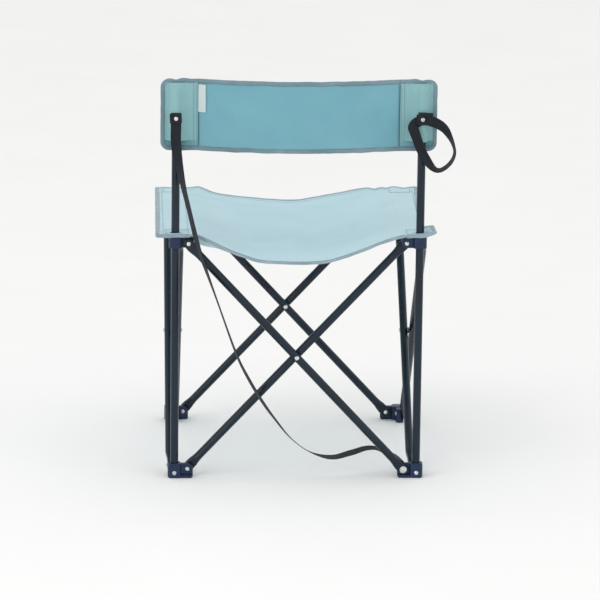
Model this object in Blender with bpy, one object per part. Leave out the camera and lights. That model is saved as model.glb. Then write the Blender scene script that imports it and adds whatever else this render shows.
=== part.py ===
"""Low camp chair that folds on four scissor sides: two back posts, eight cross tubes, sling seat, back band.

Metres, +X to the sitter's right, +Y forward, +Z up, floor at Z = 0, origin at the middle of the base.
Every side of the frame is the same scissor: one tube from each foot to the hub at the other end.
"""
import math

import bmesh
import bpy
from mathutils import Vector

# Frame sizes
POST_SPACING = 0.390  # between corner axes, the same along X and Y
HUB_PIVOT_Z = 0.3845
POST_TOP = 0.626
TUBE_R = 0.0065
TUBE_WALL = 0.0010
TUBE_OFFSET = TUBE_R + 0.0010  # from a side's middle plane to each tube's axis
FLAT_R = TUBE_R + 0.0020  # rounded, flattened tube end
FLAT_T = 0.0070
FLAT_RUN = 0.0080
TAPER_RUN = 0.0180

# Clearances
GAP = 0.0003
HOLE_CLEAR = 0.00015
SLIDE_CLEAR = 0.0004
SOCKET_CLEAR = 0.0002
HEAD_GAP = 0.00025

# Plastic corners
EAR_T = 2 * (TUBE_OFFSET - FLAT_T / 2 - GAP)  # fills the space between a side's two flat ends
BOSS_HALF = TUBE_R + 0.0040
PIVOT_INSET = BOSS_HALF + FLAT_R + 0.0020  # from a corner axis to the rivet of an ear
SOLE_T = 0.0048
LEDGE_T = 0.0038
FOOT_PIVOT_Z = SOLE_T + FLAT_R + 0.0008  # a tube's end clears the sole
FOOT_H = FOOT_PIVOT_Z + 0.0099
HUB_DROP = 0.0078  # hub below its rivets
HUB_RISE = LEDGE_T + FLAT_R + 0.0009  # hub above its rivets: a tube's end clears the ledge
ARM_OUT = TUBE_R + 0.0020  # sole and ledge, on an ear's outer side
ARM_END = PIVOT_INSET + 0.0075
SOCKET_FLOOR = 0.0040

# Fasteners
RIVET_R = 0.0024
RIVET_HEAD_R = 0.00375
RIVET_HEAD_H = 0.0016
CROSS_R = 0.00205
SPACER_R = 0.0050
STRAP_HEAD_R = 0.0060
SCREW_R = 0.0019
SCREW_HEAD_R = 0.0038
SCREW_HEAD_H = 0.0018
SCREW_IN = 0.0030  # past the post's wall
FOOT_SCREW_Z = 0.0090
BACK_SCREW_Z = POST_TOP - 0.0407

P = POST_SPACING / 2
PIVOT = P - PIVOT_INSET
HUB_TOP = HUB_PIVOT_Z + HUB_RISE

# Seat
SEAT_HALF_X = P + 0.0235
SEAT_HALF_Y = P + 0.0165
SEAT_HEM_T = 0.0024
SEAT_CLOTH_T = 0.0016
SEAT_SEAM_X = P - 0.0230
SEAT_CORNER_Y = P - 0.0305
SAG_REAR = 0.0480
SAG_FRONT = 0.0220
SAG_MARGIN = 0.0010  # the sling starts to hang this far inside the hubs' ledges

# Back band
BAND_HALF_X = P + 0.0235
BAND_TOP = POST_TOP + 0.0200
BAND_BOTTOM = BAND_TOP - 0.1130
BAND_CLOTH_T = 0.0016
BAND_SEAM_X = P - 0.0350
BAND_BULGE = 0.0120
BAND_SAG = 0.0030
BAND_CORNER = 0.0130
POCKET_T = 0.0012
POCKET_BOTTOM = BAND_BOTTOM + 0.0155
POCKET_TOP = BAND_TOP - 0.0100
POCKET_OUT = TUBE_R + 0.0070  # past the post's axis, on the outer side
POCKET_SEWN = 0.0006  # how far the patch's seams sink into the band

# Webbing
WEB_W = 0.0165
WEB_T = 0.0012

SAG_START_X = P - ARM_END - SAG_MARGIN
CROSS_Z = (FOOT_PIVOT_Z + HUB_PIVOT_Z) / 2
RUN = math.hypot(2 * PIVOT, HUB_PIVOT_Z - FOOT_PIVOT_Z)
CLOTH_Y = -P + TUBE_R + SLIDE_CLEAR + BAND_CLOTH_T / 2
POCKET_R = TUBE_R + SLIDE_CLEAR + POCKET_T / 2
RING = 16
HOLE_SIDES = 12

for old in list(bpy.data.objects):
    bpy.data.objects.remove(old, do_unlink=True)

PARTS = bpy.data.collections.new("folding_camp_chair")
TOOLS = bpy.data.collections.new("cutters")
bpy.context.scene.collection.children.link(PARTS)
bpy.context.scene.collection.children.link(TOOLS)
TOOLS.hide_render = True


def linear(value):
    return value / 12.92 if value <= 0.04045 else ((value + 0.055) / 1.055) ** 2.4


def material(name, colour, roughness, metallic=0.0):
    made = bpy.data.materials.new(name)
    made.use_nodes = True
    shader = made.node_tree.nodes["Principled BSDF"]
    shader.inputs["Base Color"].default_value = [linear(c) for c in colour] + [1.0]
    shader.inputs["Roughness"].default_value = roughness
    shader.inputs["Metallic"].default_value = metallic
    return made


TUBE_PAINT = material("tube_paint", (0.19, 0.21, 0.23), 0.42, 0.3)
PLASTIC = material("corner_plastic", (0.09, 0.17, 0.23), 0.5)
STEEL = material("rivet_steel", (0.80, 0.81, 0.80), 0.3, 1.0)
SPACER = material("spacer_plastic", (0.06, 0.08, 0.10), 0.5)
SEAT_CLOTH = material("seat_cloth", (0.73, 0.83, 0.86), 0.85)
BAND_CLOTH = material("band_cloth", (0.47, 0.66, 0.72), 0.85)
WEBBING = material("webbing", (0.12, 0.14, 0.17), 0.8)


def loft(rings):
    """A closed skin through rings of equal point counts, with a flat cap on each end."""
    shape = bmesh.new()
    loops = [[shape.verts.new(point) for point in ring] for ring in rings]
    count = len(rings[0])
    for low, high in zip(loops, loops[1:]):
        for k in range(count):
            n = (k + 1) % count
            shape.faces.new((low[k], low[n], high[n], high[k]))
    shape.faces.new(loops[0])
    shape.faces.new(loops[-1])
    bmesh.ops.recalc_face_normals(shape, faces=shape.faces)
    return shape


def circle(centre, across, up, radius, sides):
    turns = [2 * math.pi * k / sides for k in range(sides)]
    return [centre + across * (radius * math.cos(t)) + up * (radius * math.sin(t)) for t in turns]


def across_up(axis):
    """Two directions at right angles to the axis and to each other."""
    axis = Vector(axis).normalized()
    across = axis.cross(Vector((0, 0, 1)))
    if across.length < 0.1:
        across = Vector((1, 0, 0))
    across.normalize()
    return across, axis.cross(across)


def turned(base, axis, profile, sides):
    """A turned solid: profile holds (distance along the axis, radius)."""
    axis = Vector(axis).normalized()
    across, up = across_up(axis)
    return loft([circle(Vector(base) + axis * d, across, up, r, sides) for d, r in profile])


def rod(start, end, radius, sides=HOLE_SIDES):
    start, end = Vector(start), Vector(end)
    return turned(start, end - start, [(0, radius), ((end - start).length, radius)], sides)


def add(name, shapes, paint, parent):
    """One named sub-part, with its origin on its parent's axis."""
    mesh = bpy.data.meshes.new(name)
    whole = bmesh.new()
    for shape in shapes:
        part = bpy.data.meshes.new("piece")
        shape.to_mesh(part)
        shape.free()
        whole.from_mesh(part)
        bpy.data.meshes.remove(part)
    whole.transform(parent.matrix_world.inverted())
    whole.to_mesh(mesh)
    whole.free()
    made = bpy.data.objects.new(name, mesh)
    PARTS.objects.link(made)
    made.parent = parent
    made.data.materials.append(paint)
    mesh.shade_smooth()
    mesh.set_sharp_from_angle(angle=math.radians(35))
    return made


def helper(name, shapes):
    mesh = bpy.data.meshes.new(name)
    whole = bmesh.new()
    for shape in shapes:
        part = bpy.data.meshes.new("piece")
        shape.to_mesh(part)
        shape.free()
        whole.from_mesh(part)
        bpy.data.meshes.remove(part)
    whole.to_mesh(mesh)
    whole.free()
    made = bpy.data.objects.new(name, mesh)
    TOOLS.objects.link(made)
    made.display_type = "WIRE"
    made.hide_render = True
    return made


def boolean(target, operation, shapes):
    tool = helper(f"{target.name}_{operation.lower()}", shapes)
    step = target.modifiers.new(operation.lower(), "BOOLEAN")
    step.operation = operation
    step.solver = "EXACT"
    step.object = tool


def pivot(name, place):
    made = bpy.data.objects.new(name, None)
    made.empty_display_size = 0.02
    made.location = place
    PARTS.objects.link(made)
    bpy.context.view_layer.update()
    return made


# ---------------------------------------------------------------- corners
class Corner:
    """A corner of the frame: u runs inward along X, v runs inward along Y."""

    def __init__(self, x_side, y_side):
        self.axis = Vector((x_side * P, y_side * P, 0))
        self.u = Vector((-x_side, 0, 0))
        self.v = Vector((0, -y_side, 0))

    def at(self, u, v, z):
        return self.axis + self.u * u + self.v * v + Vector((0, 0, z))

    def ear_pivots(self, z):
        """Each ear's rivet centre and the direction of its rivet, outward first."""
        return [(self.at(PIVOT_INSET, 0, z), -self.v), (self.at(0, PIVOT_INSET, z), -self.u)]


def rounded_square(corner, half, z, cut):
    spots = []
    for su, sv in ((1, 1), (-1, 1), (-1, -1), (1, -1)):
        for turn in (0, 45, 90) if su * sv > 0 else (90, 45, 0):
            angle = math.radians(turn)
            u = su * (half - cut + cut * math.cos(angle))
            v = sv * (half - cut + cut * math.sin(angle))
            spots.append(corner.at(u, v, z))
    return spots


def boss(corner, low, high, edge=0.0010):
    steps = ((low, edge), (low + edge, 0), (high - edge, 0), (high, edge))
    return loft([rounded_square(corner, BOSS_HALF - e, z, 0.0045) for z, e in steps])


def ear(corner, outline, along_x):
    """An ear plate: outline holds (distance from the corner's axis, height)."""
    middle = Vector((sum(p[0] for p in outline), sum(p[1] for p in outline), 0)) / len(outline)
    rings = []
    for across, shrink in ((-0.5, 0.94), (-0.42, 1.0), (0.42, 1.0), (0.5, 0.94)):
        ring = []
        for reach, z in outline:
            r = middle.x + (reach - middle.x) * shrink
            h = middle.y + (z - middle.y) * shrink
            w = across * EAR_T
            ring.append(corner.at(r, w, h) if along_x else corner.at(w, r, h))
        rings.append(ring)
    return loft(rings)


def arms(corner, low, high):
    """The sole of a foot or the ledge of a hub: an arm under or over each ear."""
    inner = EAR_T / 2 - GAP
    cut = 0.0020
    spots = [
        (-ARM_OUT + cut, -ARM_OUT),
        (ARM_END - cut, -ARM_OUT),
        (ARM_END, -ARM_OUT + cut),
        (ARM_END, inner),
        (inner, inner),
        (inner, ARM_END),
        (-ARM_OUT + cut, ARM_END),
        (-ARM_OUT, ARM_END - cut),
        (-ARM_OUT, -ARM_OUT + cut),
    ]
    return loft([[corner.at(u, v, z) for u, v in spots] for z in (low, high)])


def ear_holes(corner, z, radius):
    reach = EAR_T / 2 + 0.003
    return [rod(c - n * reach, c + n * reach, radius) for c, n in corner.ear_pivots(z)]


def foot(name, corner, parent, has_post):
    tip = PIVOT_INSET + 0.0090
    arc = [math.radians(a) for a in (0, 22, 45, 68, 90)]
    outline = [(0.0, 0.0006), (tip - 0.002, 0.0006), (tip, 0.0026)]
    outline += [(PIVOT_INSET + 0.0090 * math.cos(a), FOOT_PIVOT_Z + 0.0090 * math.sin(a)) for a in arc]
    outline += [(0.0, FOOT_PIVOT_Z + 0.0090)]
    made = add(name, [boss(corner, 0.0006, FOOT_H)], PLASTIC, parent)
    boolean(made, "UNION", [ear(corner, outline, True)])
    boolean(made, "UNION", [ear(corner, outline, False)])
    boolean(made, "UNION", [arms(corner, 0.0, SOLE_T)])
    cuts = ear_holes(corner, FOOT_PIVOT_Z, RIVET_R + HOLE_CLEAR)
    if has_post:
        cuts.append(
            rod(corner.at(0, 0, SOCKET_FLOOR), corner.at(0, 0, FOOT_H + 0.01), TUBE_R + SOCKET_CLEAR, RING)
        )
    boolean(made, "DIFFERENCE", cuts)
    if has_post:
        start = corner.at(0, -BOSS_HALF - 0.002, FOOT_SCREW_Z)
        boolean(made, "DIFFERENCE", [rod(start, corner.at(0, 0, FOOT_SCREW_Z), SCREW_R + HOLE_CLEAR)])
    return made


def hub(name, corner, parent, has_post):
    low = HUB_PIVOT_Z - HUB_DROP
    tip = PIVOT_INSET + 0.0085
    outline = [(0.0, low + 0.0004), (tip - 0.0055, low + 0.0004), (tip - 0.0016, low + 0.0024)]
    outline += [(tip, low + 0.0063), (tip, HUB_TOP - 0.0008), (0.0, HUB_TOP - 0.0008)]
    made = add(name, [boss(corner, low, HUB_TOP - 0.0004)], PLASTIC, parent)
    boolean(made, "UNION", [ear(corner, outline, True)])
    boolean(made, "UNION", [ear(corner, outline, False)])
    boolean(made, "UNION", [arms(corner, HUB_TOP - LEDGE_T, HUB_TOP)])
    cuts = ear_holes(corner, HUB_PIVOT_Z, RIVET_R + HOLE_CLEAR)
    if has_post:
        radius = TUBE_R + SLIDE_CLEAR
        cuts.append(rod(corner.at(0, 0, low - 0.01), corner.at(0, 0, HUB_TOP + 0.01), radius, RING))
    boolean(made, "DIFFERENCE", cuts)
    return made


# ---------------------------------------------------------------- scissor tubes
class Side:
    """One scissor side: middle of its base, direction along it, and the side tube a stands on."""

    def __init__(self, middle, along, normal):
        self.middle = Vector(middle)
        self.along = Vector(along)
        self.normal = Vector(normal)

    def ends(self, which):
        """The foot and hub pivots of tube a or b, on the side's middle plane."""
        way = 1 if which == "a" else -1
        low = self.middle - self.along * (way * PIVOT) + Vector((0, 0, FOOT_PIVOT_Z))
        high = self.middle + self.along * (way * PIVOT) + Vector((0, 0, HUB_PIVOT_Z))
        return low, high

    def face(self, which):
        return self.normal if which == "a" else -self.normal

    def crossing(self):
        return self.middle + Vector((0, 0, CROSS_Z))


def squared(angle, power):
    c, s = math.cos(angle), math.sin(angle)
    return (
        math.copysign(abs(c) ** (2 / power), c),
        math.copysign(abs(s) ** (2 / power), s),
    )


def cross_tube(name, side, which, parent):
    """A round tube with both ends pressed flat and rounded about their rivets."""
    low, high = side.ends(which)
    out = side.face(which)
    axis = (high - low).normalized()
    across = axis.cross(out)
    base = low + out * TUBE_OFFSET
    end = []
    for back in (0.975, 0.78, 0.40):
        end.append((-back * FLAT_R, FLAT_R * math.sqrt(1 - back * back), FLAT_T / 2 - 0.0006 * back, 3.4))
    end.append((FLAT_RUN, FLAT_R, FLAT_T / 2, 3.4))
    for share in (0.33, 0.67, 1.0):
        ease = share * share * (3 - 2 * share)
        half_w = FLAT_R + (TUBE_R - FLAT_R) * ease
        half_t = FLAT_T / 2 + (TUBE_R - FLAT_T / 2) * ease
        end.append((FLAT_RUN + TAPER_RUN * share, half_w, half_t, 3.4 - 1.4 * ease))
    stations = end + [(RUN - s, w, t, p) for s, w, t, p in reversed(end)]
    rings = []
    for s, half_w, half_t, power in stations:
        ring = []
        for k in range(RING):
            c, n = squared(2 * math.pi * (k + 0.5) / RING, power)
            ring.append(base + axis * s + across * (half_w * c) + out * (half_t * n))
        rings.append(ring)
    made = add(name, [loft(rings)], TUBE_PAINT, parent)
    solid_end = FLAT_RUN + TAPER_RUN + 0.001
    bore = rod(base + axis * solid_end, base + axis * (RUN - solid_end), TUBE_R - TUBE_WALL)
    boolean(made, "DIFFERENCE", [bore])
    reach = TUBE_R + 0.003
    spots = ((0, RIVET_R), (RUN / 2, CROSS_R), (RUN, RIVET_R))
    holes = []
    for s, radius in spots:
        centre = base + axis * s
        holes.append(rod(centre - out * reach, centre + out * reach, radius + HOLE_CLEAR))
    boolean(made, "DIFFERENCE", holes)
    return made


def headed_pin(centre, way, back, front, radius, back_head, front_head):
    """A rivet along way: its heads sit back and front of the centre."""
    h = RIVET_HEAD_H
    profile = [
        (-back - h, 0.50 * back_head),
        (-back - 0.6 * h, 0.85 * back_head),
        (-back, back_head),
        (-back, radius),
        (front, radius),
        (front, front_head),
        (front + 0.6 * h, 0.85 * front_head),
        (front + h, 0.50 * front_head),
    ]
    return turned(centre, way, profile, HOLE_SIDES)


def end_rivet(side, which, end, front_head=RIVET_HEAD_R, behind=0.0):
    spot = side.ends(which)[end]
    back = EAR_T / 2 + HEAD_GAP + behind
    front = TUBE_OFFSET + FLAT_T / 2 + HEAD_GAP
    return headed_pin(spot, side.face(which), back, front, RIVET_R, RIVET_HEAD_R, front_head)


def cross_rivet(side):
    reach = TUBE_OFFSET + TUBE_R + HEAD_GAP
    return headed_pin(side.crossing(), side.normal, reach, reach, CROSS_R, RIVET_HEAD_R, RIVET_HEAD_R)


def spacer(side):
    half = TUBE_OFFSET - TUBE_R - GAP
    centre, way = side.crossing(), side.normal
    across, up = across_up(way)
    inner = CROSS_R + HOLE_CLEAR
    spots = ((-half, SPACER_R), (half, SPACER_R), (half, inner), (-half, inner))
    rings = [circle(centre + way * d, across, up, r, HOLE_SIDES) for d, r in spots]
    shape = bmesh.new()
    loops = [[shape.verts.new(point) for point in ring] for ring in rings]
    for low, high in zip(loops, loops[1:] + loops[:1]):
        for k in range(HOLE_SIDES):
            n = (k + 1) % HOLE_SIDES
            shape.faces.new((low[k], low[n], high[n], high[k]))
    bmesh.ops.recalc_face_normals(shape, faces=shape.faces)
    return shape


REAR = Side((0, -P, 0), (1, 0, 0), (0, 1, 0))
FRONT = Side((0, P, 0), (1, 0, 0), (0, 1, 0))
LEFT = Side((-P, 0, 0), (0, 1, 0), (-1, 0, 0))
RIGHT = Side((P, 0, 0), (0, 1, 0), (-1, 0, 0))

REAR_LEFT = Corner(-1, -1)
REAR_RIGHT = Corner(1, -1)
FRONT_LEFT = Corner(-1, 1)
FRONT_RIGHT = Corner(1, 1)

base_axis = pivot("base", (0, 0, 0))
JOINTS = {
    "rear_a": REAR.ends("a")[0],
    "rear_b": REAR.crossing(),
    "rear_right_foot": REAR.ends("b")[0],
    "rear_right_hub": REAR.ends("a")[1],
    "rear_left_hub": REAR.ends("b")[1],
    "left_a": LEFT.ends("a")[0],
    "left_b": LEFT.crossing(),
    "front_left_foot": LEFT.ends("b")[0],
    "front_left_hub": LEFT.ends("a")[1],
    "right_a": RIGHT.ends("a")[0],
    "right_b": RIGHT.crossing(),
    "front_right_foot": RIGHT.ends("b")[0],
    "front_right_hub": RIGHT.ends("a")[1],
    "front_a": FRONT.ends("a")[0],
    "front_b": FRONT.crossing(),
    "seat_left": Vector((-SEAT_SEAM_X, 0, HUB_TOP + GAP)),
    "seat_right": Vector((SEAT_SEAM_X, 0, HUB_TOP + GAP)),
    "band_left": Vector((-BAND_SEAM_X, CLOTH_Y, BAND_BOTTOM)),
    "band_right": Vector((BAND_SEAM_X, CLOTH_Y, BAND_BOTTOM)),
}
AXES = {name: pivot(f"axis_{name}", place) for name, place in JOINTS.items()}

foot("foot_rear_left", REAR_LEFT, base_axis, True)
foot("foot_rear_right", REAR_RIGHT, AXES["rear_right_foot"], True)
foot("foot_front_left", FRONT_LEFT, AXES["front_left_foot"], False)
foot("foot_front_right", FRONT_RIGHT, AXES["front_right_foot"], False)
hub("hub_rear_left", REAR_LEFT, AXES["rear_left_hub"], True)
hub("hub_rear_right", REAR_RIGHT, AXES["rear_right_hub"], True)
hub("hub_front_left", FRONT_LEFT, AXES["front_left_hub"], False)
hub("hub_front_right", FRONT_RIGHT, AXES["front_right_hub"], False)

for label, side in (("rear", REAR), ("front", FRONT), ("left", LEFT), ("right", RIGHT)):
    axis_a, axis_b = AXES[f"{label}_a"], AXES[f"{label}_b"]
    cross_tube(f"tube_{label}_a", side, "a", axis_a)
    cross_tube(f"tube_{label}_b", side, "b", axis_b)
    for which, holder in (("a", axis_a), ("b", axis_b)):
        for end, place in ((0, "foot"), (1, "hub")):
            if (label, which, end) == ("rear", "b", 0):
                strap_room = WEB_T + 2 * GAP
                add("strap_rivet", [end_rivet(side, "b", 0, STRAP_HEAD_R, strap_room)], STEEL, holder)
            else:
                add(f"rivet_{label}_{which}_{place}", [end_rivet(side, which, end)], STEEL, holder)
    add(f"cross_rivet_{label}", [cross_rivet(side)], STEEL, axis_a)
    add(f"spacer_{label}", [spacer(side)], SPACER, axis_a)


# ---------------------------------------------------------------- posts and screws
STRAP_STACK = POCKET_R + POCKET_T / 2 + GAP + WEB_T  # post axis to the back of one strap end


def post(name, corner, parent, screws, stack):
    top = corner.at(0, 0, POST_TOP)
    made = add(name, [rod(corner.at(0, 0, SOCKET_FLOOR + GAP), top, TUBE_R, RING)], TUBE_PAINT, parent)
    bore_top = top + Vector((0, 0, 0.01))
    boolean(made, "DIFFERENCE", [rod(corner.at(0, 0, -0.01), bore_top, TUBE_R - TUBE_WALL, RING)])
    holes = []
    pins = []
    for z, face in ((FOOT_SCREW_Z, BOSS_HALF), (BACK_SCREW_Z, stack)):
        holes.append(rod(corner.at(0, -TUBE_R - 0.003, z), corner.at(0, 0, z), SCREW_R + HOLE_CLEAR))
        head = face + HEAD_GAP
        tip = TUBE_R - TUBE_WALL - SCREW_IN
        h = SCREW_HEAD_H
        r = SCREW_HEAD_R
        profile = [(-h, 0.5 * r), (-0.6 * h, 0.85 * r), (0, r), (0, SCREW_R)]
        profile.append((head - tip, SCREW_R))
        pins.append(turned(corner.at(0, -head, z), corner.v, profile, HOLE_SIDES))
    boolean(made, "DIFFERENCE", holes)
    add(f"foot_screw_{screws}", pins[:1], STEEL, parent)
    add(f"band_screw_{screws}", pins[1:], STEEL, parent)


post("post_left", REAR_LEFT, base_axis, "left", STRAP_STACK)
post("post_right", REAR_RIGHT, AXES["rear_right_foot"], "right", STRAP_STACK + GAP + WEB_T)


# ---------------------------------------------------------------- seat
def sag(x, y):
    """How far the sling hangs below its hubs."""
    if abs(x) >= SAG_START_X:
        return 0.0
    share = (y + SEAT_HALF_Y) / (2 * SEAT_HALF_Y)
    depth = SAG_REAR + (SAG_FRONT - SAG_REAR) * share
    return depth * (1 - (x / SAG_START_X) ** 2)


def seat_panel(name, x_side, parent):
    rows = [-SEAT_HALF_Y + 2 * SEAT_HALF_Y * k / 8 for k in range(9)]
    low = HUB_TOP + GAP
    rings = []
    columns = [GAP + (SAG_START_X - GAP) * k / 12 for k in range(13)] + [SEAT_SEAM_X - GAP]
    for column in columns:
        x = x_side * column
        top = [Vector((x, y, low + SEAT_CLOTH_T - sag(x, y))) for y in rows]
        under = [Vector((x, y, low - sag(x, y))) for y in reversed(rows)]
        rings.append(top + under)
    return add(name, [loft(rings)], SEAT_CLOTH, parent)


def flat_block(x0, x1, y0, y1, z0, z1):
    spots = ((x0, y0), (x1, y0), (x1, y1), (x0, y1))
    return loft([[Vector((x, y, z)) for x, y in spots] for z in (z0, z1)])


def seat_corner(name, corner, parent, has_post):
    low = HUB_TOP + GAP
    reach_u, reach_v = P - SEAT_SEAM_X, P - SEAT_CORNER_Y
    out_u, out_v = SEAT_HALF_X - P, SEAT_HALF_Y - P
    cut = 0.004
    spots = [(-out_u + cut, -out_v), (reach_u, -out_v), (reach_u, reach_v)]
    spots += [(-out_u, reach_v), (-out_u, -out_v + cut)]
    shape = loft([[corner.at(u, v, z) for u, v in spots] for z in (low, low + SEAT_HEM_T)])
    made = add(name, [shape], SEAT_CLOTH, parent)
    if has_post:
        radius = TUBE_R + SLIDE_CLEAR
        cut_rod = rod(corner.at(0, 0, low - 0.01), corner.at(0, 0, low + 0.01), radius, RING)
        boolean(made, "DIFFERENCE", [cut_rod])


seat_corner("seat_corner_rear_left", REAR_LEFT, AXES["rear_left_hub"], True)
seat_corner("seat_corner_rear_right", REAR_RIGHT, AXES["rear_right_hub"], True)
seat_corner("seat_corner_front_left", FRONT_LEFT, AXES["front_left_hub"], False)
seat_corner("seat_corner_front_right", FRONT_RIGHT, AXES["front_right_hub"], False)
for label, x_side in (("left", -1), ("right", 1)):
    edges = sorted((x_side * SEAT_HALF_X, x_side * SEAT_SEAM_X))
    reach = SEAT_CORNER_Y - GAP
    low = HUB_TOP + GAP
    hem = flat_block(edges[0], edges[1], -reach, reach, low, low + SEAT_HEM_T)
    add(f"seat_side_{label}", [hem], SEAT_CLOTH, AXES[f"rear_{label}_hub"])
    seat_panel(f"seat_panel_{label}", x_side, AXES[f"seat_{label}"])


# ---------------------------------------------------------------- back band
def band_point(x, z, out):
    """A point on the band's middle surface; out is towards the back."""
    share = max(0.0, 1 - (x / BAND_SEAM_X) ** 2)
    return Vector((x, CLOTH_Y - BAND_BULGE * share - out, z - BAND_SAG * share))


def band_slab(x0, x1, z0, z1, thick, steps=10):
    rings = []
    for k in range(steps + 1):
        x = x0 + (x1 - x0) * k / steps
        front = [band_point(x, z, -thick / 2) for z in (z0, z1)]
        back = [band_point(x, z, thick / 2) for z in (z1, z0)]
        rings.append(front + back)
    return loft(rings)


def end_outline(x_side):
    """The band's end in side view, from the seam round the outer corners and back."""
    seam = BAND_SEAM_X + GAP
    r = BAND_CORNER
    spots = [(seam, BAND_BOTTOM)]
    for low, turns in ((True, (-90, -60, -30, 0)), (False, (0, 30, 60, 90))):
        middle = BAND_BOTTOM + r if low else BAND_TOP - r
        for turn in turns:
            a = math.radians(turn)
            spots.append((BAND_HALF_X - r + r * math.cos(a), middle + r * math.sin(a)))
    spots.append((seam, BAND_TOP))
    return [(x_side * x, z) for x, z in spots]


def upright_plate(outline, y, thick):
    return loft([[Vector((x, side, z)) for x, z in outline] for side in (y - thick / 2, y + thick / 2)])


def pocket(corner):
    """The sleeve patch: sewn to the band on both sides of the post and round the post's back."""
    flat_v = CLOTH_Y - BAND_CLOTH_T / 2 - POCKET_T / 2 + POCKET_SEWN + P
    seam_u = P - BAND_SEAM_X - 0.0010
    path = [(-POCKET_OUT, flat_v), (-POCKET_OUT + 0.0020, flat_v)]
    for turn in (205, 225, 247, 270, 293, 315, 335):
        a = math.radians(turn)
        path.append((POCKET_R * math.cos(a), POCKET_R * math.sin(a)))
    path += [(TUBE_R + 0.0130, flat_v), (seam_u, flat_v)]
    rings = []
    for k, (u, v) in enumerate(path):
        before = path[max(k - 1, 0)]
        after = path[min(k + 1, len(path) - 1)]
        run = Vector((after[0] - before[0], after[1] - before[1]))
        run.normalize()
        side = Vector((-run.y, run.x)) * (POCKET_T / 2)
        ring = []
        for way, z in ((1, POCKET_BOTTOM), (1, POCKET_TOP), (-1, POCKET_TOP), (-1, POCKET_BOTTOM)):
            ring.append(corner.at(u + way * side.x, v + way * side.y, z))
        rings.append(ring)
    return loft(rings)


for label, x_side, corner, holder in (
    ("left", -1, REAR_LEFT, base_axis),
    ("right", 1, REAR_RIGHT, AXES["rear_right_foot"]),
):
    cloth = upright_plate(end_outline(x_side), CLOTH_Y, BAND_CLOTH_T)
    sleeve = add(f"band_sleeve_{label}", [cloth], BAND_CLOTH, holder)
    boolean(sleeve, "UNION", [pocket(corner)])
    start = corner.at(0, -POCKET_R - 0.004, BACK_SCREW_Z)
    boolean(sleeve, "DIFFERENCE", [rod(start, corner.at(0, 0, BACK_SCREW_Z), SCREW_R + HOLE_CLEAR)])
    x0, x1 = x_side * (BAND_SEAM_X - GAP), x_side * GAP
    panel = band_slab(x0, x1, BAND_BOTTOM, BAND_TOP, BAND_CLOTH_T)
    add(f"band_panel_{label}", [panel], BAND_CLOTH, AXES[f"band_{label}"])


# ---------------------------------------------------------------- webbing straps
def smooth(points, cuts=3):
    """A curve through the points, with cuts pieces between each two."""
    spots = [points[0]] + points + [points[-1]]
    found = []
    for a, b, c, d in zip(spots, spots[1:], spots[2:], spots[3:]):
        for k in range(cuts):
            t = k / cuts
            found.append(
                0.5 * (2 * b + (c - a) * t + (2 * a - 5 * b + 4 * c - d) * t**2 + (3 * b - a - 3 * c + d) * t**3)
            )
    return found + [points[-1]]


def ribbon(stations, cuts):
    """Flat webbing: each station holds x, y, z and a turn, 0 with its face to the back, 90 on edge."""
    rows = smooth([Vector((x, y, z, turn)) for x, y, z, turn in stations], cuts)
    rings = []
    for k, row in enumerate(rows):
        before, after = rows[max(k - 1, 0)], rows[min(k + 1, len(rows) - 1)]
        run = (after - before).to_3d().normalized()
        turn = math.radians(row.w)
        flat = Vector((run.z, 0, -run.x))
        flat.normalize()
        wide = flat * math.cos(turn) + Vector((0, 1, 0)) * math.sin(turn)
        wide = (wide - run * wide.dot(run)).normalized()
        thin = run.cross(wide)
        ring = []
        for a, b in ((-1, -1), (1, -1), (1, 1), (-1, 1)):
            ring.append(row.to_3d() + wide * (a * WEB_W / 2) + thin * (b * WEB_T / 2))
        rings.append(ring)
    return loft(rings)


tab_y = -P - STRAP_STACK + WEB_T / 2
ear_back = -P + EAR_T / 2 + GAP + WEB_T / 2


def hanging(stations):
    """A strap's line, drawn for posts 0.390 m apart and 0.626 m tall, for this chair's posts."""
    found = []
    for x, y, z, turn in stations:
        spread = max(-1.0, min(1.0, x / 0.174)) * (P - 0.195)
        up = max(0.0, (z - 0.06) / (0.5853 - 0.06))
        rise = (FOOT_PIVOT_Z - 0.0141) * (1 - up) + (BACK_SCREW_Z - 0.5853) * up
        found.append((x + spread, y, z + rise, turn))
    return found


CARRY_STRAP = [
    (-0.1950, tab_y, 0.5945, 0),
    (-0.1950, tab_y, 0.5853, 0),
    (-0.1950, tab_y - 0.0004, 0.5750, 0),
    (-0.1952, -P - 0.0160, 0.5500, 8),
    (-0.1912, -P - 0.0210, 0.5193, 34),
    (-0.1832, -P - 0.0265, 0.4792, 60),
    (-0.1752, -P - 0.0285, 0.4471, 65),
    (-0.1648, -P - 0.0295, 0.4041, 64),
    (-0.1582, -P - 0.0295, 0.3789, 65),
    (-0.1505, -P - 0.0295, 0.3564, 71),
    (-0.1282, -P - 0.0290, 0.2948, 82),
    (-0.0989, -P - 0.0290, 0.2132, 78),
    (-0.0794, -P - 0.0290, 0.1723, 72),
    (-0.0550, -P - 0.0290, 0.1312, 71),
    (-0.0338, -P - 0.0290, 0.1015, 75),
    (-0.0094, -P - 0.0285, 0.0717, 80),
    (0.0210, -P - 0.0275, 0.0490, 77),
    (0.0560, -P - 0.0230, 0.0385, 52),
    (0.0885, -P - 0.0110, 0.0425, 44),
    (0.1160, -P + 0.0020, 0.0470, 50),
    (0.1370, -P + 0.0078, 0.0436, 58),
    (0.1540, -P + 0.0084, 0.0335, 36),
    (0.1630, -P + 0.0066, 0.0252, 8),
    (0.1690, ear_back + 0.0004, 0.0194, 0),
    (0.1740, ear_back, 0.0141, 0),
    (0.1770, ear_back, 0.0110, 0),
]
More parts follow.
